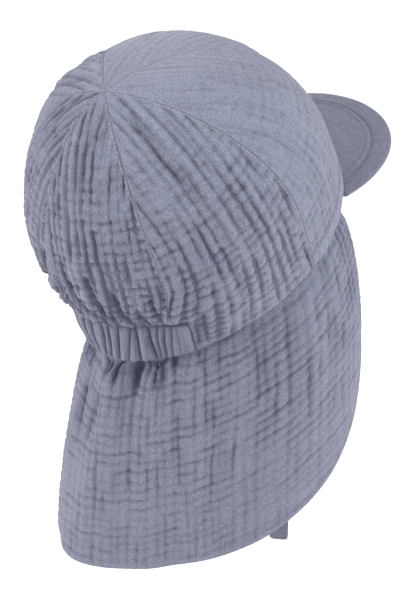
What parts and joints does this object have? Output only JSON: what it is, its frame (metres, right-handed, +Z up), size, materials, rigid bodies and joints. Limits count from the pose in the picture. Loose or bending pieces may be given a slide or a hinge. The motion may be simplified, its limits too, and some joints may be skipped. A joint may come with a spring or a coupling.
{
  "type": "legionnaire cap",
  "caption": "Child's sun cap: panelled crinkled cotton crown with a padded peak, a gathered elastic casing at the nape, a long neck flap and hanging chin ties.",
  "frame": {"origin": "inside of the crown's top, where the panel tips meet and a head carries the cap", "axes": "+Z up, the peak points to -Y, the wearer's right is -X; the crown's own axis leans back by 21 degrees"},
  "size_m": [0.1568, 0.2069, 0.2898],
  "materials": {
    "crown_muslin": "crinkled double gauze, matt",
    "casing_muslin": "gathered double gauze, matt",
    "flap_muslin": "crinkled double gauze, matt",
    "peak_cotton": "smooth padded cotton, matt",
    "tie_tape": "flat cotton tape, matt"
  },
  "bodies": {
    "root": {"crown_panel_front_right": "crown_muslin", "crown_panel_side_right": "crown_muslin", "crown_panel_back_right": "crown_muslin", "crown_panel_back_left": "crown_muslin", "crown_panel_side_left": "crown_muslin", "crown_panel_front_left": "crown_muslin", "elastic_casing": "casing_muslin", "neck_flap": "flap_muslin", "peak": "peak_cotton", "chin_tie_right": "tie_tape", "chin_tie_left": "tie_tape"}
  },
  "joints": []
}
